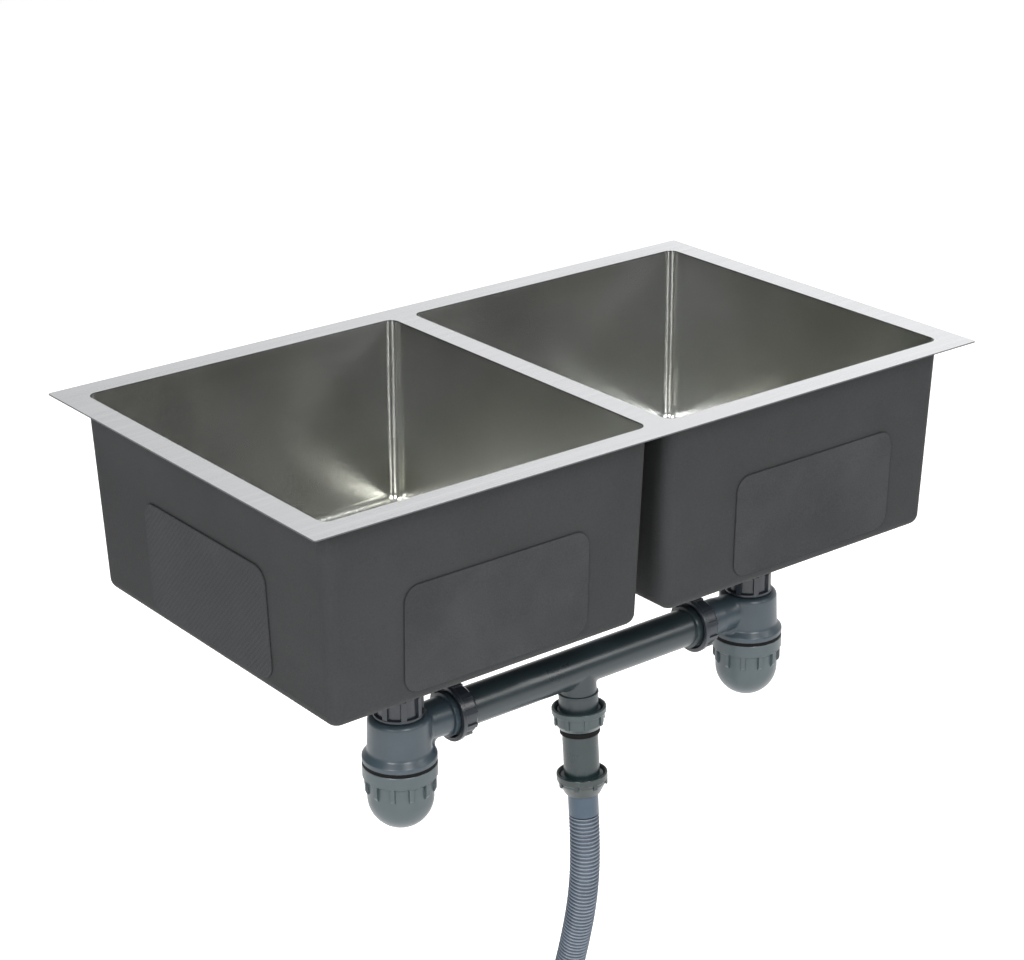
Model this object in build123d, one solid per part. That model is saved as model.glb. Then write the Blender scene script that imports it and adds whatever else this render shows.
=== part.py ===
from build123d import *
import os
import math

# Double bowl kitchen sink, held by its rim, with its plastic drain set below.
# Millimetres, +Z up. Origin: centre of the rim's top face, on the strip between
# the bowls. +X runs along the sink's length, from the left bowl to the right
# bowl as seen from the -Y side.

# ---------------------------------------------------------------- driving sizes
RIM_L = 800.0            # rim, along X
RIM_W = 460.0            # rim, along Y
RIM_T = 1.2              # rim sheet
RIM_CORNER_R = 3.0
BOWL_L = 360.0           # bowl opening, along X
BOWL_W = 406.0           # bowl opening, along Y
BOWL_DEPTH = 200.0       # rim top to bowl floor
BOWL_X = 193.0           # bowl centre from the middle of the rim
CORNER_R = 10.0          # bowl's upright corners, inside
FLOOR_R = 10.0           # wall-to-floor radius, inside
SHEET = 1.2              # bowl sheet
COAT = 0.8               # sprayed sound-deadening coat
LEAN = 6.5               # each wall comes in by this much over the depth

PAD_T = 1.8
PAD_R = 16.0

DRAINS = {"left": -223.5, "right": 227.0}   # the drain axes along X
DRAIN_Y = -90.0
SEAT_R = 58.5            # pressed seat for the strainer flange
SEAT_D = 3.0
HOLE_R = 45.0            # strainer hole

AXIS_Z = -292.0          # height of the cross pipe's axis
PIPE_R = 19.5
PIPE_BORE = 17.3
TUBE_R = 16.0            # inlet tubes under the strainers
TUBE_BORE = 14.2
TEE_X = -5.0
TEE_TILT = 4.0           # degrees the branch swings toward -Y
HOSE_R = 15.6
HOSE_BORE = 13.2

os.makedirs("parts", exist_ok=True)
SLOPE = LEAN / BOWL_DEPTH
LEAN_DEG = math.degrees(math.atan(SLOPE))
made = {}


def save(name, shape):
    made[name] = shape
    export_step(shape, "parts/" + name + ".step")


# -------------------------------------------------------------------- helpers
def rev(points, radii=None):
    """Solid of revolution about Z from (radius, z) points; radii rounds corners by index."""
    face = make_face(Polyline(*points, close=True).edges())
    for i, r in (radii or {}).items():
        p = points[i]
        v = sorted(face.vertices(), key=lambda q: (q.X - p[0]) ** 2 + (q.Y - p[1]) ** 2)[0]
        face = fillet(v, r)
    return revolve(Plane.XZ * face, axis=Axis.Z, revolution_arc=360)


def cyl(r, z0, z1, x=0.0, y=0.0):
    return Pos(x, y, (z0 + z1) / 2) * Cylinder(r, abs(z1 - z0))


def ring(r_out, r_in, z0, z1):
    lo, hi = min(z0, z1), max(z0, z1)
    return rev([(r_in, lo), (r_out, lo), (r_out, hi), (r_in, hi)])


def thread_points(r, z0, z1, depth=0.5, pitch=3.0):
    """Rounded ridges of an external thread, from z0 up to z1, as profile points."""
    n = int((z1 - z0) / pitch)
    pts = [(r, z0)]
    for k in range(n):
        a = z0 + k * pitch
        pts += [(r, a + 1.0), (r - depth, a + 1.5), (r - depth, a + 2.4), (r, a + 2.9)]
    pts.append((r, z1))
    out = [pts[0]]
    for p in pts[1:]:
        if abs(p[0] - out[-1][0]) + abs(p[1] - out[-1][1]) > 0.05:
            out.append(p)
    return out


def frustum(cx, z_top, z_bot, grow, corner):
    """Leaning-walled block: the bowl's inside grown outward by grow."""
    def sketch(z):
        hx = BOWL_L / 2 + grow - SLOPE * abs(z)
        hy = BOWL_W / 2 + grow - SLOPE * abs(z)
        return Pos(cx, 0, z) * RectangleRounded(2 * hx, 2 * hy, corner)
    return loft([sketch(z_bot), sketch(z_top)], ruled=True)


def tub(cx, z_top, z_bot, grow, corner, floor_r):
    solid = frustum(cx, z_top, z_bot, grow, corner)
    low = solid.edges().group_by(Axis.Z)[0]
    return fillet(low, floor_r)


def nut(length, rim_r, rim_l, body_r, cone_l, cone_r, thread_r, wall, bore_r, lip_r,
        lugs, lug_r, lug_w):
    """Union nut along +Z: flared open end at z 0, closed end at z length."""
    pts = [
        (lip_r, 0.0), (rim_r, 0.0), (rim_r, rim_l), (body_r, rim_l + 0.8),
        (body_r, length - cone_l), (cone_r, length), (bore_r, length),
        (bore_r, length - wall), (thread_r, length - wall), (thread_r, rim_l),
    ]
    s = rev(pts, {1: 0.9, 2: 0.7, 4: 0.8, 5: 0.5})
    for k in range(lugs):
        lug_l = length - cone_l - rim_l + 0.6
        bar = Pos((body_r - 0.8 + lug_r) / 2, 0, rim_l - 0.4 + lug_l / 2) * Box(
            lug_r - body_r + 0.8, lug_w, lug_l)
        s += Rot(0, 0, 360.0 / lugs * (k + 0.5)) * bar
    return s


def place(origin, z_dir, x_dir=(0, 1, 0)):
    return Plane(origin=origin, x_dir=x_dir, z_dir=z_dir).location


# ------------------------------------------------------------------------ rim
rim = Pos(0, 0, -RIM_T / 2) * Box(RIM_L, RIM_W, RIM_T)
rim = fillet(rim.edges().filter_by(Axis.Z), RIM_CORNER_R)
for s in (-1, 1):
    opening = extrude(Pos(s * BOWL_X, 0, -RIM_T - 1) * RectangleRounded(BOWL_L, BOWL_W, CORNER_R),
                      amount=RIM_T + 2)
    rim -= opening
top_edges = [e for e in rim.edges() if abs(e.center().Z) < 1e-4 and e.bounding_box().size.Z < 1e-4]
rim = fillet(top_edges, 0.45)
save("rim_deck", rim)

# ---------------------------------------------------------------------- bowls
for side, s in (("left", -1), ("right", 1)):
    cx, dx = s * BOWL_X, DRAINS[side]
    inside = tub(cx, 3.0, -BOWL_DEPTH, 0.0, CORNER_R, FLOOR_R)
    steel_out = tub(cx, -RIM_T, -BOWL_DEPTH - SHEET, SHEET, CORNER_R + SHEET, FLOOR_R + SHEET)
    seat_under = cyl(SEAT_R + SHEET, -BOWL_DEPTH - SEAT_D - SHEET, -BOWL_DEPTH - 0.4, dx, DRAIN_Y)
    bowl = (steel_out + seat_under) - inside
    bowl -= cyl(SEAT_R, -BOWL_DEPTH - SEAT_D, -BOWL_DEPTH + 2, dx, DRAIN_Y)
    bowl -= cyl(HOLE_R, -BOWL_DEPTH - 10, -BOWL_DEPTH + 10, dx, DRAIN_Y)
    save("bowl_" + side, bowl)

    coat_out = tub(cx, -RIM_T, -BOWL_DEPTH - SHEET - COAT, SHEET + COAT,
                   CORNER_R + SHEET + COAT, FLOOR_R + SHEET + COAT)
    coat = coat_out - steel_out
    coat -= cyl(SEAT_R + SHEET + 0.6, -BOWL_DEPTH - 12, -BOWL_DEPTH + 2, dx, DRAIN_Y)
    save("coat_" + side, coat)

# ----------------------------------------------------------------- sound pads
GROW = SHEET + COAT


def pad(width, height, plane):
    p = extrude(plane * RectangleRounded(width, height, PAD_R), amount=PAD_T)
    outer = plane.z_dir
    far = [e for e in p.edges() if abs((e.center() - plane.origin).dot(outer) - PAD_T) < 0.05]
    return fillet(far, 0.9)


def wall_plane(axis, sign, along, z, cx=0.0):
    """A plane on the coat's outer face, its normal pointing out of the bowl."""
    c, t = math.cos(math.radians(LEAN_DEG)), math.sin(math.radians(LEAN_DEG))
    if axis == "y":
        face = BOWL_W / 2 + GROW - SLOPE * abs(z)
        return Plane(origin=(along, sign * face, z), x_dir=(-sign * 1.0, 0, 0), z_dir=(0, sign * c, -t))
    face = BOWL_L / 2 + GROW - SLOPE * abs(z)
    return Plane(origin=(cx + sign * face, along, z), x_dir=(0, sign * 1.0, 0), z_dir=(sign * c, 0, -t))


def mid_z(lo, hi):
    return (lo + hi) / 2


save("pad_front_left", pad(209, 106, wall_plane("y", -1, -187.5, -136.5)))
save("pad_front_right", pad(210, 107, wall_plane("y", -1, 207.0, -135.0)))
save("pad_end_left", pad(208, 112, wall_plane("x", -1, -1.0, -132.5, -BOWL_X)))
save("pad_end_right", pad(208, 112, wall_plane("x", 1, -1.0, -132.5, BOWL_X)))
save("pad_rear_left", pad(209, 106, wall_plane("y", 1, -193.0, -136.0)))
save("pad_rear_right", pad(209, 106, wall_plane("y", 1, 193.0, -136.0)))
for side, s in (("left", -1), ("right", 1)):
    under = Plane(origin=(s * BOWL_X, 70.0, -BOWL_DEPTH - GROW), x_dir=(1, 0, 0), z_dir=(0, 0, -1))
    save("pad_floor_" + side, pad(230, 150, under))

# ------------------------------------------------- strainer set of each drain
FLANGE_R = 57.0
FLANGE_TOP = -200.8
CUP_FLOOR = -226.8       # inside floor of the strainer cup
BODY_TOP = -207.2        # drain body's upper face
BODY_END = -238.5        # lower end of its outlet sleeve
TUBE_END = -366.0        # the inlet tube ends under water, inside the trap's cup

flange_profile = [
    (FLANGE_R, -202.0), (FLANGE_R, FLANGE_TOP), (46.0, FLANGE_TOP), (42.4, -204.6),
    (40.8, CUP_FLOOR), (0.0, CUP_FLOOR), (0.0, CUP_FLOOR - 1.0), (41.8, CUP_FLOOR - 1.0),
    (43.5, -205.0), (44.4, -202.0),
]
strainer = rev(flange_profile, {1: 0.5, 2: 2.2, 4: 1.5, 7: 2.3})
for k in range(8):
    strainer -= Rot(0, 0, 45 * k) * cyl(4.6, -230, -224, 24.5, 0)
    strainer -= Rot(0, 0, 45 * k + 22.5) * cyl(2.8, -230, -224, 14.0, 0)
strainer -= cyl(2.8, -230, -224)

# sheet basket: floor, leaning wall, turned rim
basket = rev([
    (0.0, -223.8), (37.6, -223.8), (39.8, -206.6), (41.6, -206.6), (41.6, -205.6),
    (39.0, -205.6), (36.8, -222.8), (0.0, -222.8),
], {1: 1.6, 6: 0.8})
for k in range(12):
    basket -= Rot(0, 0, 30 * k) * cyl(2.0, -226, -220, 30.0, 0)
    basket -= Rot(0, 0, 30 * k + 15) * cyl(2.0, -226, -220, 22.5, 0)
for k in range(8):
    basket -= Rot(0, 0, 45 * k) * cyl(2.0, -226, -220, 14.5, 0)
for k in range(16):
    slot = Pos(38.2, 0, -214.5) * Box(8, 3.2, 8.5)
    basket -= Rot(0, 0, 22.5 * k + 11.25) * slot
# lifting knob on its stem
knob = rev([
    (0.0, -223.3), (5.5, -223.3), (4.0, -219.5), (3.2, -206.0), (8.6, -203.0), (9.4, -199.6),
    (7.6, -197.6), (0.0, -197.0),
], {4: 1.0, 5: 0.8, 6: 1.5})
basket += knob

plug = ring(33.0, 7.5, CUP_FLOOR, CUP_FLOOR + 3.0)

flange_seal = ring(56.0, 46.5, -203.0, -202.0)
under_seal = ring(57.0, 46.5, -207.2, -204.2)

drain_body = rev([
    (46.0, BODY_TOP), (57.5, BODY_TOP), (57.5, -211.5), (50.5, -212.5), (49.0, -228.0),
    (46.0, -231.5), (22.0, -235.5), (20.0, -236.2), (20.0, BODY_END), (16.05, BODY_END),
    (16.05, -234.0), (14.4, -234.0), (14.4, -233.2), (43.6, -229.2), (45.5, -227.6),
], {1: 1.2, 2: 1.2, 3: 1.5, 4: 2.5, 5: 3.0})
# screw boss on three ribs, over the outlet
boss = ring(5.5, 2.6, -236.0, -229.4)
for k in range(3):
    rib = Pos(12.2, 0, -232.15) * Box(15.6, 2.6, 3.5)
    boss += Rot(0, 0, 120 * k + 30) * rib
boss -= cyl(2.6, -240, -225)
drain_body += boss

screw = rev([
    (0.0, -237.0), (2.2, -237.0), (2.5, -236.4), (2.5, CUP_FLOOR), (6.2, CUP_FLOOR),
    (6.2, -226.0), (4.6, -224.4), (0.0, -224.4),
], {})
screw -= Pos(0, 0, -224.3) * Box(9.0, 1.3, 1.6)

inlet_tube = rev([
    (TUBE_BORE, TUBE_END), (TUBE_R - 0.3, TUBE_END), (TUBE_R, TUBE_END + 0.5),
    (TUBE_R, -234.2), (TUBE_BORE, -234.2),
])

# ------------------------------------------------------------- bottle trap
NUT_TOP = -249.0
NUT_L = 24.3
inlet_nut_shape = nut(NUT_L, 24.8, 3.0, 21.8, 2.2, 20.4, 19.7, 3.2, 16.4, 21.2, 8, 24.4, 5.5)
inlet_nut = Pos(0, 0, NUT_TOP - NUT_L) * inlet_nut_shape
inlet_washer = rev([
    (TUBE_R + 0.08, -256.8), (18.2, -256.8), (19.3, -254.5), (19.3, -252.4), (TUBE_R + 0.08, -252.4),
])

SHOULDER = -274.0
COLLAR = -320.0          # underside of the body's lower collar
trap_outer_pts = (
    [(0.0, -257.0), (19.2, -257.0)]
    + [(r, z) for r, z in reversed(thread_points(19.2, -272.0, -258.0))]
    + [(19.2, SHOULDER), (30.0, SHOULDER), (30.4, -282.0), (31.4, -309.5), (36.5, -315.5),
       (36.5, COLLAR), (33.0, COLLAR)]
    + [(r, z) for r, z in reversed(thread_points(33.0, -332.0, -320.6, 0.6, 3.6))]
    + [(0.0, -332.0)]
)


def clean(points):
    out = []
    for p in points:
        if not out or abs(p[0] - out[-1][0]) + abs(p[1] - out[-1][1]) > 0.02:
            out.append(p)
    return out


trap_outer_pts = clean(trap_outer_pts)
i_sh = trap_outer_pts.index((30.0, SHOULDER))
i_co = trap_outer_pts.index((36.5, -315.5))
trap_outer = rev(trap_outer_pts, {i_sh: 5.0, i_sh + 2: 5.0, i_co: 2.2})
trap_inner = rev([
    (0.0, -340.0), (27.4, -340.0), (27.4, -283.0), (22.0, -277.5), (TUBE_R + 0.15, -277.5),
    (TUBE_R + 0.15, -250.0), (0.0, -250.0),
])


def x_rev(points, origin_x, y, z, direction=1, radii=None):
    """Revolved solid laid along X, its local z 0 at origin_x."""
    return place((origin_x, y, z), (direction, 0, 0)) * rev(points, radii)


def trap_body(dx, branch, bores):
    body = Pos(dx, DRAIN_Y, 0) * trap_outer
    joined = body + branch
    curved = [e for e in joined.edges()
              if e.geom_type not in (GeomType.LINE, GeomType.CIRCLE)
              and abs(e.center().Z - AXIS_Z) < 24 and e.length > 20]
    for r in (8.0, 7.0, 6.0, 5.0, 4.5, 4.0, 3.0, 2.0):
        try:
            rounded = fillet(curved, r)
            if rounded.is_valid:
                joined = rounded
                print("trap branch fillet", r)
                break
        except Exception as problem:
            print("fillet", r, "not possible", str(problem)[:60])
    joined -= Pos(dx, DRAIN_Y, 0) * trap_inner
    for b in bores:
        joined -= b
    return joined


# left trap: its outlet ends in a beaded, threaded socket that takes the cross pipe
DX_L, DX_R = DRAINS["left"], DRAINS["right"]
L_SOCKET_END = -154.0
X0 = -168.0              # left end of the cross pipe, inside that socket
left_branch = x_rev(
    clean([(0.0, 0.0), (18.4, 0.0), (18.4, 30.0), (19.5, -172.4 - DX_L), (22.2, -171.6 - DX_L),
           (22.2, -164.9 - DX_L), (21.5, -164.5 - DX_L), (21.5, -164.1 - DX_L)]
          + thread_points(22.4, -163.9 - DX_L, L_SOCKET_END - DX_L)
          + [(0.0, L_SOCKET_END - DX_L)]),
    DX_L, DRAIN_Y, AXIS_Z)
left_bores = [
    place((DX_L, DRAIN_Y, AXIS_Z), (1, 0, 0)) * cyl(16.3, 20.0, -140.0 - DX_L),
    place((DX_L, DRAIN_Y, AXIS_Z), (1, 0, 0)) * cyl(PIPE_R + 0.2, X0 - 0.4 - DX_L, -140.0 - DX_L),
]
# right trap: its outlet is a plain spigot that enters the cross pipe's socket
R_SPIGOT_END = 142.0
right_branch = x_rev(
    [(0.0, 0.0), (18.4, 0.0), (18.4, 33.0), (PIPE_R, 46.0), (PIPE_R, DX_R - R_SPIGOT_END - 0.6),
     (PIPE_R - 0.6, DX_R - R_SPIGOT_END), (0.0, DX_R - R_SPIGOT_END)],
    DX_R, DRAIN_Y, AXIS_Z, direction=-1)
right_bores = [place((DX_R, DRAIN_Y, AXIS_Z), (-1, 0, 0)) * cyl(16.3, 20.0, DX_R - 135.0)]

SEAL_END = -324.0
CUP_LIP = -337.6         # lower edge of the cup's collar
trap_seal = ring(36.3, 33.25, SEAL_END, COLLAR)

DOME_Z, DOME_R, DOME_IN = -360.0, 32.5, 29.6
with BuildPart() as cup_build:
    with BuildSketch(Plane.XZ):
        with BuildLine():
            l1 = Polyline((29.6, DOME_Z), (29.6, -333.8), (33.4, -333.0), (33.4, SEAL_END),
                          (36.1, SEAL_END), (36.5, SEAL_END - 0.6), (36.5, CUP_LIP + 0.9),
                          (35.7, CUP_LIP), (32.8, CUP_LIP - 0.6), (DOME_R, DOME_Z))
            l2 = CenterArc((0, DOME_Z), DOME_R, 0, -90)
            l3 = Line((0, DOME_Z - DOME_R), (0, DOME_Z - DOME_IN))
            l4 = CenterArc((0, DOME_Z), DOME_IN, 0, -90)
        make_face()
    revolve(axis=Axis.Z)
trap_cup = cup_build.part
for k in range(12):
    blade = extrude(
        Plane(origin=(0, 2.0, 0), x_dir=(1, 0, 0), z_dir=(0, -1, 0))
        * make_face(Polyline((31.5, CUP_LIP + 1.6), (35.4, CUP_LIP + 1.6), (35.4, -350.0),
                             (34.2, -352.6), (31.5, -354.2), close=True).edges()),
        amount=4.0)
    trap_cup += Rot(0, 0, 30 * k + 12) * blade

for side, s in (("left", -1), ("right", 1)):
    at = Pos(DRAINS[side], DRAIN_Y, 0)
    save("strainer_flange_" + side, at * strainer)
    save("flange_seal_" + side, at * flange_seal)
    save("under_seal_" + side, at * under_seal)
    save("drain_body_" + side, at * drain_body)
    save("basket_" + side, at * basket)
    save("basket_plug_" + side, at * plug)
    save("inlet_tube_" + side, at * inlet_tube)
    save("inlet_nut_" + side, at * inlet_nut)
    save("inlet_washer_" + side, at * inlet_washer)
    save("trap_seal_" + side, at * trap_seal)
    save("trap_cup_" + side, at * trap_cup)
save("strainer_screws", Compound(children=[
    Pos(DX_L, DRAIN_Y, 0) * Rot(0, 0, 35) * screw,
    Pos(DX_R, DRAIN_Y, 0) * Rot(0, 0, -20) * screw,
]))
save("trap_body_left", trap_body(DX_L, left_branch, left_bores))
save("trap_body_right", trap_body(DX_R, right_branch, right_bores))

# ------------------------------------------------------- coupling nuts on X
COUP_L = 21.0
L_NUT_X = -167.0
R_NUT_X = 144.0
coupling = nut(COUP_L, 28.5, 4.5, 25.0, 3.0, 22.6, 22.8, 3.5, PIPE_R + 0.3, 24.6, 10, 26.7, 4.6)
save("coupling_nut_left", place((L_NUT_X, DRAIN_Y, AXIS_Z), (1, 0, 0)) * coupling)
save("coupling_nut_right", place((R_NUT_X, DRAIN_Y, AXIS_Z), (1, 0, 0)) * coupling)


def tapered_washer(z0, z1, r_in, r_big, r_small):
    return rev([(r_in, z0), (r_small, z0), (r_big, z0 + 2.0), (r_big, z1), (r_in, z1)])


save("coupling_washer_left",
     place((0, DRAIN_Y, AXIS_Z), (1, 0, 0)) * tapered_washer(L_SOCKET_END, L_NUT_X + COUP_L - 3.6,
                                                            PIPE_R + 0.08, 22.2, 21.0))
R_SOCKET_END = 157.0
save("coupling_washer_right",
     place((0, DRAIN_Y, AXIS_Z), (1, 0, 0)) * tapered_washer(R_SOCKET_END, R_NUT_X + COUP_L - 3.6,
                                                            PIPE_R + 0.08, 22.2, 21.0))

# ------------------------------------------- cross pipe with its swept tee
TEE = Plane(origin=(TEE_X, DRAIN_Y, AXIS_Z), x_dir=(1, 0, 0),
            z_dir=(0, -math.sin(math.radians(TEE_TILT)), -math.cos(math.radians(TEE_TILT)))).location
pipe = x_rev(
    clean([(0.0, 0.0), (PIPE_R - 0.5, 0.0), (PIPE_R, 0.5), (PIPE_R, 137.2 - X0), (22.2, 138.0 - X0),
           (22.2, 145.1 - X0), (21.5, 145.5 - X0), (21.5, 145.9 - X0)]
          + thread_points(22.4, 146.1 - X0, R_SOCKET_END - X0)
          + [(0.0, R_SOCKET_END - X0)]),
    X0, DRAIN_Y, AXIS_Z)
tee = TEE * rev(clean(
    [(0.0, 0.0), (19.0, 0.0), (19.0, 26.2), (20.6, 26.8), (20.6, 28.4), (20.0, 29.0), (20.0, 44.4)]
    + thread_points(21.9, 45.0, 57.0) + [(0.0, 57.0)]))
cross = pipe + tee
crotch = [e for e in cross.edges()
          if e.geom_type not in (GeomType.LINE, GeomType.CIRCLE)
          and abs(e.center().X - TEE_X) < 24 and e.length > 10]
for r in (4.0, 3.0, 2.0, 1.2):
    try:
        rounded = fillet(crotch, r)
        if rounded.is_valid:
            cross = rounded
            print("tee fillet", r)
            break
    except Exception as problem:
        print("tee fillet", r, "not possible", str(problem)[:60])
cross -= place((X0, DRAIN_Y, AXIS_Z), (1, 0, 0)) * cyl(PIPE_BORE, -2, 170 - X0)
cross -= place((X0, DRAIN_Y, AXIS_Z), (1, 0, 0)) * cyl(PIPE_R + 0.2, R_SPIGOT_END - 0.6 - X0, 170 - X0)
cross -= TEE * cyl(15.6, 0, 60)
cross -= TEE * cyl(18.5, 42, 60)
save("cross_pipe", cross)

# ------------------------------------------------ adaptor and hose connection
tee_nut_shape = nut(22.0, 27.7, 6.0, 24.7, 5.0, 21.6, 22.3, 3.6, 19.5, 25.4, 8, 26.2, 4.2)
save("tee_nut", TEE * Pos(0, 0, 42.6) * tee_nut_shape)
save("tee_seal", TEE * rev([
    (18.38, 57.0), (20.4, 57.0), (21.6, 58.6), (21.6, 60.8), (19.2, 60.8), (19.2, 65.6),
    (20.5, 65.6), (20.5, 71.0), (18.38, 71.0),
], {6: 0.6, 7: 0.8}))
adaptor = TEE * rev(clean(
    [(15.5, 43.0), (18.0, 43.0), (18.3, 43.5), (18.3, 116.8)]
    + thread_points(21.8, 117.5, 123.0, 0.5, 2.7) + [(15.5, 123.0)]))
save("adaptor_tube", adaptor)
save("adaptor_seal", TEE * ring(21.0, 15.6, 123.0, 124.2))
adaptor_nut = rev([
    (24.2, 0.0), (26.0, 0.0), (26.0, 6.8), (25.0, 8.0), (24.6, 10.2), (18.4, 22.0), (16.0, 22.0),
    (16.0, 18.6), (22.3, 10.4), (22.3, 3.6),
], {1: 0.9, 2: 0.7, 4: 1.6, 5: 1.0})
for k in range(8):
    bar = Pos(25.3, 0, 9.0) * Box(1.6, 4.0, 5.2)
    adaptor_nut += Rot(0, 0, 45 * k + 8) * bar
save("adaptor_nut", TEE * Pos(0, 0, 115.3) * adaptor_nut)
CUFF_END = 161.5
save("hose_cuff", TEE * rev([
    (HOSE_BORE, 124.2), (20.5, 124.2), (20.5, 126.2), (HOSE_R, 127.2), (HOSE_R, CUFF_END),
    (HOSE_BORE, CUFF_END),
]))

# ------------------------------------------------------------------- hose
tilt = math.radians(TEE_TILT)


def down_tee(d):
    return (TEE_X, DRAIN_Y - d * math.sin(tilt), AXIS_Z - d * math.cos(tilt))


ROUTE = [
    down_tee(CUFF_END),
    down_tee(CUFF_END + 46.0),
    (TEE_X, -99.8, -556.0),
    (TEE_X, -86.5, -615.0),
    (TEE_X, -69.0, -675.0),
    (TEE_X, -57.5, -741.0),
    (TEE_X, -52.0, -810.0),
    (TEE_X, -52.0, -878.0),
]
V = [Vector(*p) for p in ROUTE]
runs = [(V[i + 1] - V[i]).length for i in range(len(V) - 1)]
radii = []
for i in range(1, len(V) - 1):
    turn = (V[i] - V[i - 1]).get_angle(V[i + 1] - V[i])
    radii.append(0.45 * min(runs[i - 1], runs[i]) / math.tan(math.radians(turn / 2)))
print("hose runs", [round(r, 1) for r in runs])
print("hose radii", [round(r, 1) for r in radii])
path = FilletPolyline(*ROUTE, radius=radii)
path_length = sum(e.length for e in path.edges())
start = Plane(origin=V[0], x_dir=(1, 0, 0), z_dir=(V[1] - V[0]).normalized())
section = start * (Circle(HOSE_R) - Circle(HOSE_BORE))
hose = sweep(section, path=path)
area = math.pi * (HOSE_R ** 2 - HOSE_BORE ** 2)
print("hose length", round(path_length, 1), "volume share", round(hose.volume / (area * path_length), 4))
save("hose", hose)

# the spigot on the hose's far end, that pushes into a 40 mm waste pipe
HX, HY, HZ = ROUTE[-1]
save("hose_end", Pos(HX, HY, 0) * rev([
    (HOSE_R + 0.1, HZ + 20.0), (18.4, HZ + 20.0), (18.8, HZ + 18.5), (18.8, HZ - 2.0),
    (23.5, HZ - 2.6), (23.5, HZ - 6.2), (20.0, HZ - 7.0), (20.0, HZ - 43.0), (19.0, HZ - 45.0),
    (16.6, HZ - 45.0), (16.6, HZ - 8.0), (HOSE_BORE, HZ - 4.0), (HOSE_BORE, HZ),
    (HOSE_R + 0.1, HZ),
], {4: 0.8, 5: 0.8}))

for name, shape in made.items():
    if not shape.is_valid:
        print("NOT VALID", name)
print(len(made), "nodes")
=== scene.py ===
import math

import bpy
from mathutils import Matrix, Vector


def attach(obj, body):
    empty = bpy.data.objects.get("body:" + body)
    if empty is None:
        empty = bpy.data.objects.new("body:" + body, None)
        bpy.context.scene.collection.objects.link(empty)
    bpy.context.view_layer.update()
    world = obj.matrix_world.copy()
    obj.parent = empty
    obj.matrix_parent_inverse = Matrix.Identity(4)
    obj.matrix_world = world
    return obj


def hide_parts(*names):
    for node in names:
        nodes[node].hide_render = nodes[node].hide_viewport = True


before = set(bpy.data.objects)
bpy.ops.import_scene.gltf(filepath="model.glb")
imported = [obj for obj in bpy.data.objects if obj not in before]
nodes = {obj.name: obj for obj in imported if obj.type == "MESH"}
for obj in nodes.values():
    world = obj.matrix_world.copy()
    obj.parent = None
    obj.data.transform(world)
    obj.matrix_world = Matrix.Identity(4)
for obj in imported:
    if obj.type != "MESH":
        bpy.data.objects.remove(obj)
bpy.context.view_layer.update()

scene = bpy.context.scene
scene.view_settings.view_transform = "Standard"
scene.view_settings.look = "None"
scene.view_settings.exposure = 0.0
scene.view_settings.gamma = 1.0

# ------------------------------------------------------------------- camera
# The photograph's view of the sink, which is held up by its rim.
AZ, EL, ROLL = -0.6585810998, 0.3856295382, -0.0103588269
CAM_AT = Vector((-1.438086, -1.839137, 0.827398))
cam_data = bpy.data.cameras.new("camera")
cam_data.sensor_fit = "HORIZONTAL"
cam_data.sensor_width = 36.0
cam_data.lens = 88.447
cam_data.clip_start = 0.05
cam_data.clip_end = 200.0
camera = bpy.data.objects.new("camera", cam_data)
scene.collection.objects.link(camera)
back = Vector((math.sin(AZ) * math.cos(EL), -math.cos(AZ) * math.cos(EL), math.sin(EL)))
right = (-back).cross(Vector((0, 0, 1))).normalized()
up = right.cross(-back).normalized()
cr, sr = math.cos(ROLL), math.sin(ROLL)
right_r = right * cr + up * sr
up_r = up * cr - right * sr
camera.matrix_world = Matrix((
    (right_r.x, up_r.x, back.x, CAM_AT.x),
    (right_r.y, up_r.y, back.y, CAM_AT.y),
    (right_r.z, up_r.z, back.z, CAM_AT.z),
    (0, 0, 0, 1),
))
scene.camera = camera


# ------------------------------------------------------------ mesh helpers
def new_object(name, verts, faces, smooth=True):
    me = bpy.data.meshes.new(name)
    me.from_pydata([tuple(v) for v in verts], [], faces)
    me.update()
    if smooth:
        me.polygons.foreach_set("use_smooth", [True] * len(me.polygons))
    ob = bpy.data.objects.new(name, me)
    scene.collection.objects.link(ob)
    return ob


# --------------------------------------------------------------------- hose
# Same route as the hose's solid: out of the adaptor's cuff, down under its own
# weight, into the waste end that is clipped on its lower end.
ROUTE = [
    (-0.005, -0.101266, -0.453107),
    (-0.005, -0.104474, -0.498995),
    (-0.005, -0.0998, -0.556),
    (-0.005, -0.0865, -0.615),
    (-0.005, -0.069, -0.675),
    (-0.005, -0.0575, -0.741),
    (-0.005, -0.052, -0.810),
    (-0.005, -0.052, -0.878),
]
route = bpy.data.curves.new("hose_route", "CURVE")
route.dimensions = "3D"
route.resolution_u = 48
spline = route.splines.new("NURBS")
spline.points.add(len(ROUTE) - 1)
for point, co in zip(spline.points, ROUTE):
    point.co = (*co, 1.0)
spline.order_u = 3
spline.use_endpoint_u = True
route_object = bpy.data.objects.new("hose_route", route)
scene.collection.objects.link(route_object)
bpy.context.view_layer.update()
line = [v.co.copy() for v in bpy.data.meshes.new_from_object(route_object).vertices]
bpy.data.objects.remove(route_object)


def along(points):
    """Distance of each point from the first, along the points."""
    at = [0.0]
    for a, b in zip(points, points[1:]):
        at.append(at[-1] + (b - a).length)
    return at


def sweep_frames(points):
    """Directions and two normals at each point, turned as little as possible."""
    out, normal = [], Vector((1, 0, 0))
    for i in range(len(points)):
        t = (points[min(i + 1, len(points) - 1)] - points[max(i - 1, 0)]).normalized()
        normal = (normal - t * normal.dot(t)).normalized()
        out.append((t, normal, t.cross(normal)))
    return out


line_at = along(line)
line_frames = sweep_frames(line)
LINE_L = line_at[-1]


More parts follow.
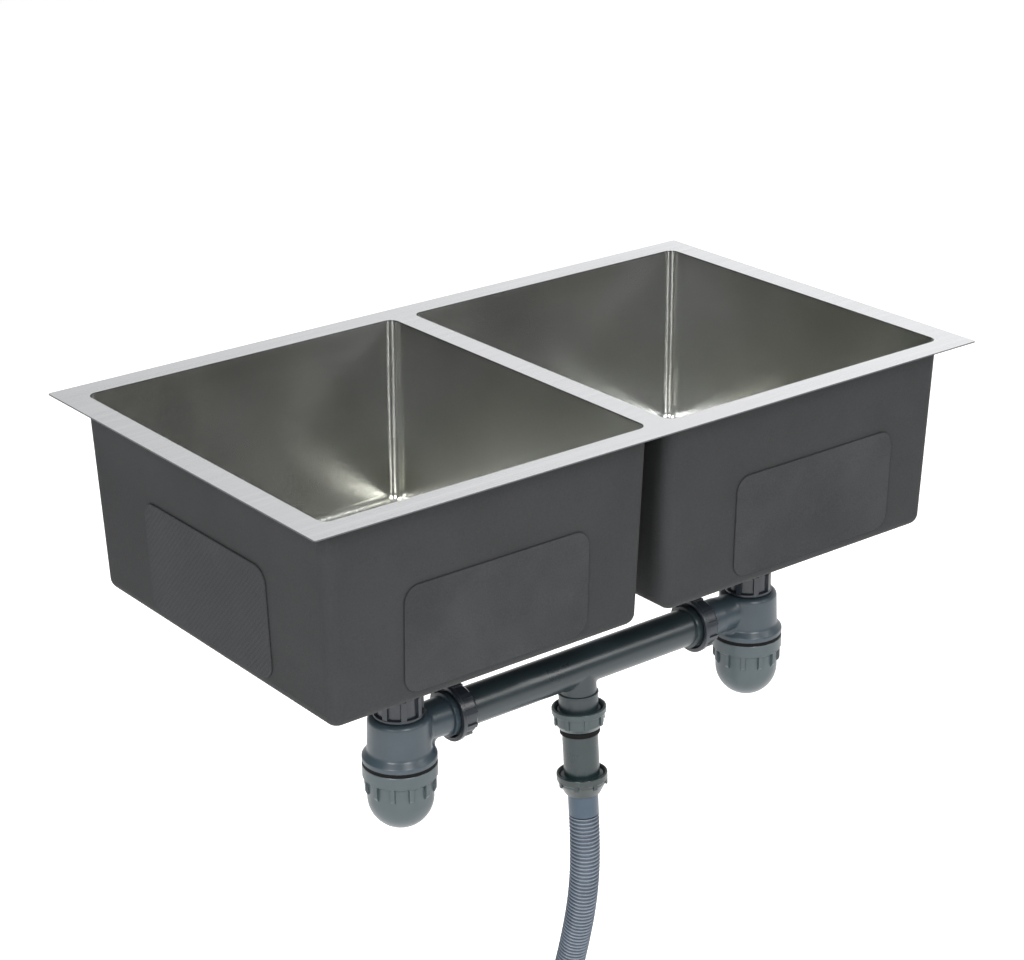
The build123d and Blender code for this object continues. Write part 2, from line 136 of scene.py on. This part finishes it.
def on_line(s):
    """Point and directions at distance s along the hose."""
    s = min(max(s, 0.0), LINE_L)
    lo, hi = 0, len(line) - 1
    while hi - lo > 1:
        mid = (lo + hi) // 2
        if line_at[mid] <= s:
            lo = mid
        else:
            hi = mid
    w = (s - line_at[lo]) / max(line_at[hi] - line_at[lo], 1e-9)
    p = line[lo].lerp(line[hi], w)
    t = line_frames[lo][0].lerp(line_frames[hi][0], w).normalized()
    n = line_frames[lo][1].lerp(line_frames[hi][1], w)
    n = (n - t * n.dot(t)).normalized()
    return p, t, n, t.cross(n)


PITCH = 0.0043
CREST, ROOT, BORE = 0.0156, 0.0131, 0.0122
# One fold of the wall: (share of the pitch, share of the way from root to crest).
FOLD = [(0.0, 0.0), (0.12, 0.0), (0.20, 0.10), (0.27, 0.38), (0.34, 0.78), (0.42, 0.97),
        (0.50, 1.0), (0.58, 0.97), (0.66, 0.78), (0.73, 0.38), (0.80, 0.10), (0.88, 0.0)]
AROUND = 64
turns = int(round(LINE_L / PITCH))
pitch = LINE_L / turns
profile = [(0.0, BORE)]
for k in range(turns):
    for share, rise in FOLD:
        profile.append(((k + share) * pitch, ROOT + (CREST - ROOT) * rise))
profile.append((LINE_L, ROOT))
profile.append((LINE_L, BORE))
inner = [(LINE_L * (1 - k / 60), BORE) for k in range(1, 60)]
verts, faces = [], []
stations = profile + inner
for s, r in stations:
    p, t, n, b = on_line(s)
    for k in range(AROUND):
        a = 2 * math.pi * k / AROUND
        verts.append(p + (n * math.cos(a) + b * math.sin(a)) * r)
count = len(stations)
for i in range(count):
    j = (i + 1) % count
    for k in range(AROUND):
        m = (k + 1) % AROUND
        faces.append((i * AROUND + k, i * AROUND + m, j * AROUND + m, j * AROUND + k))
hose = new_object("hose_corrugated", verts, faces)
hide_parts("hose")
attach(hose, "sink")


# ---------------------------------------------------------------- materials
def lin(r, g, b):
    def one(c):
        c /= 255.0
        return c / 12.92 if c <= 0.04045 else ((c + 0.055) / 1.055) ** 2.4
    return (one(r), one(g), one(b), 1.0)


class Material:
    """A Principled material with short names for the nodes that it uses."""

    def __init__(self, name, metallic=0.0, ior=1.5, specular=0.5):
        self.mat = bpy.data.materials.new(name)
        self.mat.use_nodes = True
        self.tree = self.mat.node_tree
        self.tree.nodes.clear()
        self.out = self.node("ShaderNodeOutputMaterial")
        self.bsdf = self.node("ShaderNodeBsdfPrincipled")
        self.tree.links.new(self.bsdf.outputs["BSDF"], self.out.inputs["Surface"])
        self.bsdf.inputs["Metallic"].default_value = metallic
        self.bsdf.inputs["IOR"].default_value = ior
        self.bsdf.inputs["Specular IOR Level"].default_value = specular
        self.coords = self.node("ShaderNodeTexCoord").outputs["Object"]
        self.heights = None

    def node(self, kind, **props):
        n = self.tree.nodes.new(kind)
        for k, v in props.items():
            setattr(n, k, v)
        return n

    def feed(self, socket, value):
        if isinstance(value, bpy.types.NodeSocket):
            self.tree.links.new(value, socket)
        else:
            socket.default_value = value

    def place(self, scale=(1, 1, 1), rotation=(0, 0, 0)):
        n = self.node("ShaderNodeMapping")
        self.feed(n.inputs["Vector"], self.coords)
        n.inputs["Scale"].default_value = scale
        n.inputs["Rotation"].default_value = rotation
        return n.outputs["Vector"]

    def noise(self, scale=(1, 1, 1), detail=3.0, rough=0.55, rotation=(0, 0, 0)):
        n = self.node("ShaderNodeTexNoise")
        self.feed(n.inputs["Vector"], self.place(scale, rotation))
        n.inputs["Scale"].default_value = 1.0
        n.inputs["Detail"].default_value = detail
        n.inputs["Roughness"].default_value = rough
        return n.outputs["Fac"]

    def cells(self, scale):
        n = self.node("ShaderNodeTexVoronoi")
        self.feed(n.inputs["Vector"], self.place(scale))
        n.inputs["Scale"].default_value = 1.0
        return n.outputs["Distance"]

    def math(self, op, a, b=0.0, clamp=False):
        n = self.node("ShaderNodeMath", operation=op, use_clamp=clamp)
        self.feed(n.inputs[0], a)
        if len(n.inputs) > 1:
            self.feed(n.inputs[1], b)
        return n.outputs[0]

    def span(self, value, a, b, c, d):
        n = self.node("ShaderNodeMapRange")
        self.feed(n.inputs["Value"], value)
        for k, v in zip(("From Min", "From Max", "To Min", "To Max"), (a, b, c, d)):
            n.inputs[k].default_value = v
        return n.outputs["Result"]

    def mix(self, factor, a, b):
        n = self.node("ShaderNodeMix", data_type="RGBA")
        self.feed(n.inputs[0], factor)
        self.feed(n.inputs[6], a)
        self.feed(n.inputs[7], b)
        return n.outputs[2]

    def blend(self, factor, a, b):
        n = self.node("ShaderNodeMix", data_type="FLOAT")
        self.feed(n.inputs[0], factor)
        self.feed(n.inputs[2], a)
        self.feed(n.inputs[3], b)
        return n.outputs[0]

    def normal_z(self):
        g = self.node("ShaderNodeNewGeometry")
        s = self.node("ShaderNodeSeparateXYZ")
        self.feed(s.inputs[0], g.outputs["Normal"])
        return s.outputs["Z"]

    def axis(self, name):
        s = self.node("ShaderNodeSeparateXYZ")
        self.feed(s.inputs[0], self.coords)
        return s.outputs[name]

    def bump(self, height, distance, strength=1.0):
        n = self.node("ShaderNodeBump")
        n.inputs["Distance"].default_value = distance
        n.inputs["Strength"].default_value = strength
        self.feed(n.inputs["Height"], height)
        if self.heights is not None:
            self.feed(n.inputs["Normal"], self.heights)
        self.heights = n.outputs["Normal"]
        self.feed(self.bsdf.inputs["Normal"], self.heights)

    def colour(self, value):
        self.feed(self.bsdf.inputs["Base Color"], value)

    def rough(self, value):
        self.feed(self.bsdf.inputs["Roughness"], value)


def brushed(name, base, dark, rough_lo, rough_hi, streak=0.000004, strength=0.2, aniso=0.35, haze=None, painted_edge_shade=None):
    """Brushed stainless: streaks along X on flat parts, level streaks on walls. haze: warm patches. painted_edge_shade:
    painted shade, a darker colour on the faces that are not level (the rim's edges).
    """
    m = Material(name, metallic=1.0)
    flat = m.noise((6, 2600, 6), detail=4, rough=0.65)
    wall = m.noise((6, 6, 2200), detail=4, rough=0.65)
    up_share = m.math("GREATER_THAN", m.math("ABSOLUTE", m.normal_z()), 0.72)
    grain = m.blend(up_share, wall, flat)
    cloud = m.noise((7, 7, 7), detail=2)
    band = m.blend(up_share, m.noise((2.2, 2.2, 110), detail=3, rough=0.6),
                   m.noise((2.2, 130, 2.2), detail=3, rough=0.6))
    shade = m.math("ADD", m.math("MULTIPLY", m.span(grain, 0.3, 0.7, 0.0, 1.0), 0.55),
                   m.math("MULTIPLY", m.span(band, 0.35, 0.65, 0.0, 1.0), 0.45))
    tone = m.mix(shade, dark, base)
    if haze:
        tone = m.mix(m.span(m.noise((4.2, 4.2, 6.5), detail=2), 0.40, 0.62, 0.0, 0.65), tone, haze)
    # Painted shade: faces that are not level get a darker colour in place of the shade on them.
    if painted_edge_shade:
        tone = m.mix(up_share, painted_edge_shade, tone)
    m.colour(tone)
    m.rough(m.math("ADD", m.span(shade, 0.0, 1.0, rough_hi, rough_lo),
                   m.span(cloud, 0.3, 0.7, -0.02, 0.02)))
    m.bump(grain, streak, strength)
    m.bsdf.inputs["Anisotropic"].default_value = aniso
    g = m.node("ShaderNodeNewGeometry")
    level = m.node("ShaderNodeVectorMath", operation="CROSS_PRODUCT")
    m.feed(level.inputs[0], g.outputs["Normal"])
    across = m.node("ShaderNodeCombineXYZ")
    m.feed(across.inputs["X"], up_share)
    m.feed(across.inputs["Z"], m.math("SUBTRACT", 1.0, up_share))
    m.feed(level.inputs[1], across.outputs[0])
    steep = m.node("ShaderNodeVectorMath", operation="CROSS_PRODUCT")
    m.feed(steep.inputs[0], g.outputs["Normal"])
    m.feed(steep.inputs[1], level.outputs[0])
    flat_t = m.node("ShaderNodeVectorMath", operation="NORMALIZE")
    pick = m.node("ShaderNodeMix", data_type="VECTOR")
    m.feed(pick.inputs[0], up_share)
    m.feed(pick.inputs[4], steep.outputs[0])
    m.feed(pick.inputs[5], level.outputs[0])
    m.feed(flat_t.inputs[0], pick.outputs[1])
    m.feed(m.bsdf.inputs["Tangent"], flat_t.outputs[0])
    return m.mat


def moulded(name, base, dark, rough=0.32, specular=0.4, grain=0.00002, coat=0.0):
    """Moulded plastic: faint flow tone, fine eggshell grain, a few handling scuffs."""
    m = Material(name, ior=1.5, specular=specular)
    flow = m.noise((16, 16, 26), detail=3, rough=0.6)
    scuff = m.noise((900, 900, 140), detail=2, rough=0.7)
    m.colour(m.mix(m.span(flow, 0.35, 0.68, 0.0, 1.0), dark, base))
    worn = m.span(scuff, 0.62, 0.78, 0.0, 1.0)
    m.rough(m.math("ADD", m.span(flow, 0.3, 0.7, rough - 0.04, rough + 0.05),
                   m.math("MULTIPLY", worn, 0.05)))
    m.bump(m.noise((1500, 1500, 1500), detail=2), grain, 0.5)
    if coat:
        m.bsdf.inputs["Coat Weight"].default_value = coat
        m.bsdf.inputs["Coat Roughness"].default_value = 0.12
    return m.mat


# The rim's steel, with painted shade on its edges.
rim_steel = brushed("rim_steel", lin(228, 229, 230), lin(216, 217, 218), 0.22, 0.30, painted_edge_shade=lin(84, 86, 88))
bowl_steel = brushed("bowl_steel", lin(199, 200, 198), lin(183, 184, 182), 0.195, 0.24, strength=0.0, aniso=0.88,
                     haze=lin(176, 176, 168))
drain_steel = brushed("drain_steel", lin(205, 204, 202), lin(190, 189, 187), 0.14, 0.24)

def painted_crease_shade(m, value, dark, distance):
    """Painted shade: darkens the colour in the close corners and creases of a part, where shade falls."""
    ao = m.node("ShaderNodeAmbientOcclusion", samples=8)
    ao.inputs["Distance"].default_value = distance
    return m.mix(m.span(ao.outputs["AO"], 0.45, 0.9, 0.0, 1.0), dark, value)


# Sprayed sound-deadening coat: fine pebbled rubber.
c = Material("sprayed_coat", specular=0.3)
pebble = c.noise((1300, 1300, 1300), detail=4, rough=0.6)
drift = c.noise((9, 9, 9), detail=3)
speck = c.noise((420, 420, 420), detail=2)
# Painted shade: the coat's colour darkens within 2.5 mm of other geometry, such as along the pads' edges and where it
# meets the rim.
c.colour(painted_crease_shade(c, c.mix(c.span(c.math("ADD", c.math("MULTIPLY", drift, 0.6), c.math("MULTIPLY", speck, 0.4)),
                              0.35, 0.65, 0.0, 1.0), lin(27, 28, 29), lin(34, 35, 36)),
              lin(16, 16, 17), 0.0025))
c.rough(c.span(pebble, 0.3, 0.7, 0.72, 0.92))
c.bump(pebble, 0.00012, 0.55)
c.bump(speck, 0.00018, 0.35)
coat_mat = c.mat

# Rubber damping pads: matt and smooth; the end and rear ones have a close
# diagonal weave pressed into the face.
def pad_rubber(name, woven):
    m = Material(name, specular=0.3)
    drift = m.span(m.noise((12, 12, 12), detail=3), 0.35, 0.65, 0.0, 1.0)
    fine = m.noise((700, 700, 700), detail=3)
    if woven:
        xyz = m.node("ShaderNodeSeparateXYZ")
        m.feed(xyz.inputs[0], m.coords)
        flat_xy = m.math("ADD", xyz.outputs["X"], xyz.outputs["Y"])
        strands = []
        for turn in (0.785, -0.785):
            w = m.node("ShaderNodeTexWave", wave_type="BANDS", bands_direction="X", wave_profile="SIN")
            at = m.node("ShaderNodeCombineXYZ")
            m.feed(at.inputs["X"], m.math("ADD", m.math("MULTIPLY", flat_xy, math.cos(turn)),
                                          m.math("MULTIPLY", xyz.outputs["Z"], math.sin(turn))))
            m.feed(w.inputs["Vector"], at.outputs[0])
            w.inputs["Scale"].default_value = 2 * math.pi / 20 / 0.0041
            strands.append(w.outputs["Fac"])
        cross = m.math("MAXIMUM", strands[0], m.math("MULTIPLY", strands[1], 0.55))
        tone = m.math("ADD", m.math("MULTIPLY", drift, 0.45), m.math("MULTIPLY", cross, 0.55))
        m.bump(cross, 0.0004, 0.7)
    else:
        tone = drift
    # Painted shade: the pad's colour darkens within 2.5 mm of other geometry, giving a dark line along its edges.
    m.colour(painted_crease_shade(m, m.mix(tone, lin(28, 29, 31), lin(37, 38, 40)), lin(12, 12, 13), 0.0025))
    m.rough(m.span(fine, 0.3, 0.7, 0.7, 0.9))
    m.bump(fine, 0.00004, 0.35)
    return m.mat


pad_mat = pad_rubber("damping_pad", False)
pad_woven = pad_rubber("damping_pad_woven", True)

trap_mat = moulded("trap_plastic", lin(43, 54, 60), lin(37, 47, 53), rough=0.36)
cup_mat = moulded("cup_plastic", lin(53, 63, 66), lin(47, 56, 59), rough=0.36)
nut_mat = moulded("nut_plastic", lin(32, 37, 43), lin(27, 31, 36), rough=0.32)
pipe_mat = moulded("pipe_plastic", lin(30, 39, 42), lin(26, 34, 37), rough=0.31)
tee_mat = moulded("tee_plastic", lin(26, 37, 38), lin(22, 33, 34), rough=0.28)
tee_nut_mat = moulded("tee_nut_plastic", lin(46, 56, 57), lin(40, 49, 50), rough=0.30)
adaptor_nut_mat = moulded("adaptor_nut_plastic", lin(34, 42, 42), lin(29, 37, 37), rough=0.30)
drain_mat = moulded("drain_plastic", lin(50, 56, 60), lin(43, 49, 53), rough=0.32)
cuff_mat = moulded("cuff_plastic", lin(42, 57, 70), lin(36, 50, 62), rough=0.32)

# Corrugated hose: random tone, with painted shade darkening the folds between the crests.
h = Material("hose_plastic", specular=0.5)
flow = h.noise((30, 30, 30), detail=3)
rub = h.noise((260, 260, 900), detail=3)
tone = h.math("ADD", h.math("MULTIPLY", flow, 0.6), h.math("MULTIPLY", rub, 0.4))
h.colour(painted_crease_shade(h, h.mix(h.span(tone, 0.35, 0.65, 0.0, 1.0), lin(75, 84, 94), lin(89, 98, 109)),
              lin(30, 37, 47), 0.003))
h.rough(h.span(tone, 0.35, 0.65, 0.34, 0.46))
h.bump(h.noise((1800, 1800, 1800), detail=2), 0.00002, 0.4)
hose_mat = h.mat

# Black seal rubber.
r = Material("seal_rubber", specular=0.12)
soft = r.noise((700, 700, 700), detail=3)
r.colour(r.mix(r.span(soft, 0.35, 0.65, 0.0, 1.0), lin(5, 5, 6), lin(9, 9, 10)))
r.rough(r.span(soft, 0.3, 0.7, 0.7, 0.85))
r.bump(soft, 0.00003, 0.4)
rubber_mat = r.mat

FINISH = {
    "rim_deck": rim_steel, "bowl_": bowl_steel, "coat_": coat_mat, "pad_": pad_mat,
    "pad_end": pad_woven, "pad_rear": pad_woven,
    "strainer_flange": drain_steel, "strainer_screws": drain_steel, "basket_plug": rubber_mat,
    "basket_": drain_steel, "flange_seal": rubber_mat, "under_seal": rubber_mat,
    "drain_body": drain_mat, "inlet_tube": drain_mat, "inlet_nut": nut_mat,
    "inlet_washer": rubber_mat, "trap_body": trap_mat, "trap_seal": rubber_mat,
    "trap_cup": cup_mat, "coupling_nut": nut_mat, "coupling_washer": rubber_mat,
    "cross_pipe": pipe_mat, "tee_nut": tee_nut_mat, "tee_seal": rubber_mat,
    "adaptor_tube": tee_mat, "adaptor_seal": rubber_mat, "adaptor_nut": adaptor_nut_mat,
    "hose_cuff": cuff_mat, "hose": hose_mat, "hose_end": tee_mat,
}


def finish_of(name):
    keys = [k for k in FINISH if name.startswith(k)]
    return FINISH[max(keys, key=len)]


def dress(ob, material):
    if not ob.data.materials:
        ob.data.materials.append(material)
    for i in range(len(ob.data.materials)):
        ob.data.materials[i] = material


for name, ob in nodes.items():
    dress(ob, finish_of(name))
dress(hose, hose_mat)

# ------------------------------------------------------------------ studio
FLOOR_Z = -0.945
floor = new_object("studio_floor", [(-55, -55, FLOOR_Z), (55, -55, FLOOR_Z), (55, 55, FLOOR_Z), (-55, 55, FLOOR_Z)],
                   [(0, 1, 2, 3)], smooth=False)
f = Material("studio_floor")
f.colour((0.9, 0.9, 0.9, 1.0))
f.rough(0.9)
f.bsdf.inputs["Emission Color"].default_value = (1, 1, 1, 1)
f.bsdf.inputs["Emission Strength"].default_value = 0.62
f_side = f.node("ShaderNodeNewGeometry")
f_clear = f.node("ShaderNodeBsdfTransparent")
f_pick = f.node("ShaderNodeMixShader")
f.tree.links.new(f_side.outputs["Backfacing"], f_pick.inputs[0])
f.tree.links.new(f.bsdf.outputs["BSDF"], f_pick.inputs[1])
f.tree.links.new(f_clear.outputs["BSDF"], f_pick.inputs[2])
f.tree.links.new(f_pick.outputs["Shader"], f.out.inputs["Surface"])
dress(floor, f.mat)

world = bpy.data.worlds.new("studio")
scene.world = world
world.use_nodes = True
wt = world.node_tree
wt.nodes.clear()
w_out = wt.nodes.new("ShaderNodeOutputWorld")
w_bg = wt.nodes.new("ShaderNodeBackground")
w_tc = wt.nodes.new("ShaderNodeTexCoord")
w_sep = wt.nodes.new("ShaderNodeSeparateXYZ")
w_ramp = wt.nodes.new("ShaderNodeValToRGB")
w_side = wt.nodes.new("ShaderNodeMapRange")
w_side.interpolation_type = "SMOOTHSTEP"
for key, value in zip(("From Min", "From Max", "To Min", "To Max"), (0.30, 0.78, 0.62, 1.15)):
    w_side.inputs[key].default_value = value
w_deep = wt.nodes.new("ShaderNodeVectorMath")
w_deep.operation = "DOT_PRODUCT"
w_deep.inputs[1].default_value = (0.7071, 0.7071, 0.0)
w_far = wt.nodes.new("ShaderNodeMapRange")
w_far.interpolation_type = "SMOOTHSTEP"
for key, value in zip(("From Min", "From Max", "To Min", "To Max"), (0.15, 0.75, 0.34, 1.12)):
    w_far.inputs[key].default_value = value
w_both = wt.nodes.new("ShaderNodeMath")
w_both.operation = "MULTIPLY"
w_mul = wt.nodes.new("ShaderNodeVectorMath")
w_mul.operation = "SCALE"
wt.links.new(w_tc.outputs["Generated"], w_sep.inputs[0])
wt.links.new(w_sep.outputs["Z"], w_ramp.inputs["Fac"])
wt.links.new(w_sep.outputs["X"], w_side.inputs["Value"])
wt.links.new(w_ramp.outputs["Color"], w_mul.inputs[0])
wt.links.new(w_tc.outputs["Generated"], w_deep.inputs[0])
wt.links.new(w_deep.outputs["Value"], w_far.inputs["Value"])
wt.links.new(w_side.outputs["Result"], w_both.inputs[0])
wt.links.new(w_far.outputs["Result"], w_both.inputs[1])
wt.links.new(w_both.outputs["Value"], w_mul.inputs["Scale"])
wt.links.new(w_mul.outputs[0], w_bg.inputs["Color"])
wt.links.new(w_bg.outputs["Background"], w_out.inputs["Surface"])
ramp = w_ramp.color_ramp
ramp.elements[0].position, ramp.elements[0].color = 0.05, (0.95, 0.95, 0.96, 1)
ramp.elements[1].position, ramp.elements[1].color = 0.98, (0.24, 0.24, 0.24, 1)
mid = ramp.elements.new(0.5)
mid.color = (0.86, 0.86, 0.865, 1)
w_bg.inputs["Strength"].default_value = 1.0


def softbox(name, at, target, size, power, size_y=None):
    data = bpy.data.lights.new(name, "AREA")
    data.energy = power
    data.size = size
    if size_y:
        data.shape = "RECTANGLE"
        data.size_y = size_y
    ob = bpy.data.objects.new(name, data)
    scene.collection.objects.link(ob)
    ob.location = at
    ob.rotation_mode = "QUATERNION"
    ob.rotation_quaternion = (Vector(target) - Vector(at)).to_track_quat("-Z", "Y")
    return ob


softbox("key_left", (-3.9, -2.0, 2.5), (0, 0, -0.2), 1.3, 305, size_y=2.4)
softbox("key_front", (-0.7, -4.1, 2.5), (0, 0, -0.2), 1.0, 210, size_y=2.4)
softbox("fill_right", (2.6, -3.4, 2.3), (0, 0, -0.2), 1.2, 70, size_y=1.8)
softbox("overhead", (0.0, 0.0, 3.4), (0, 0, 0), 4.8, 32, size_y=4.6)
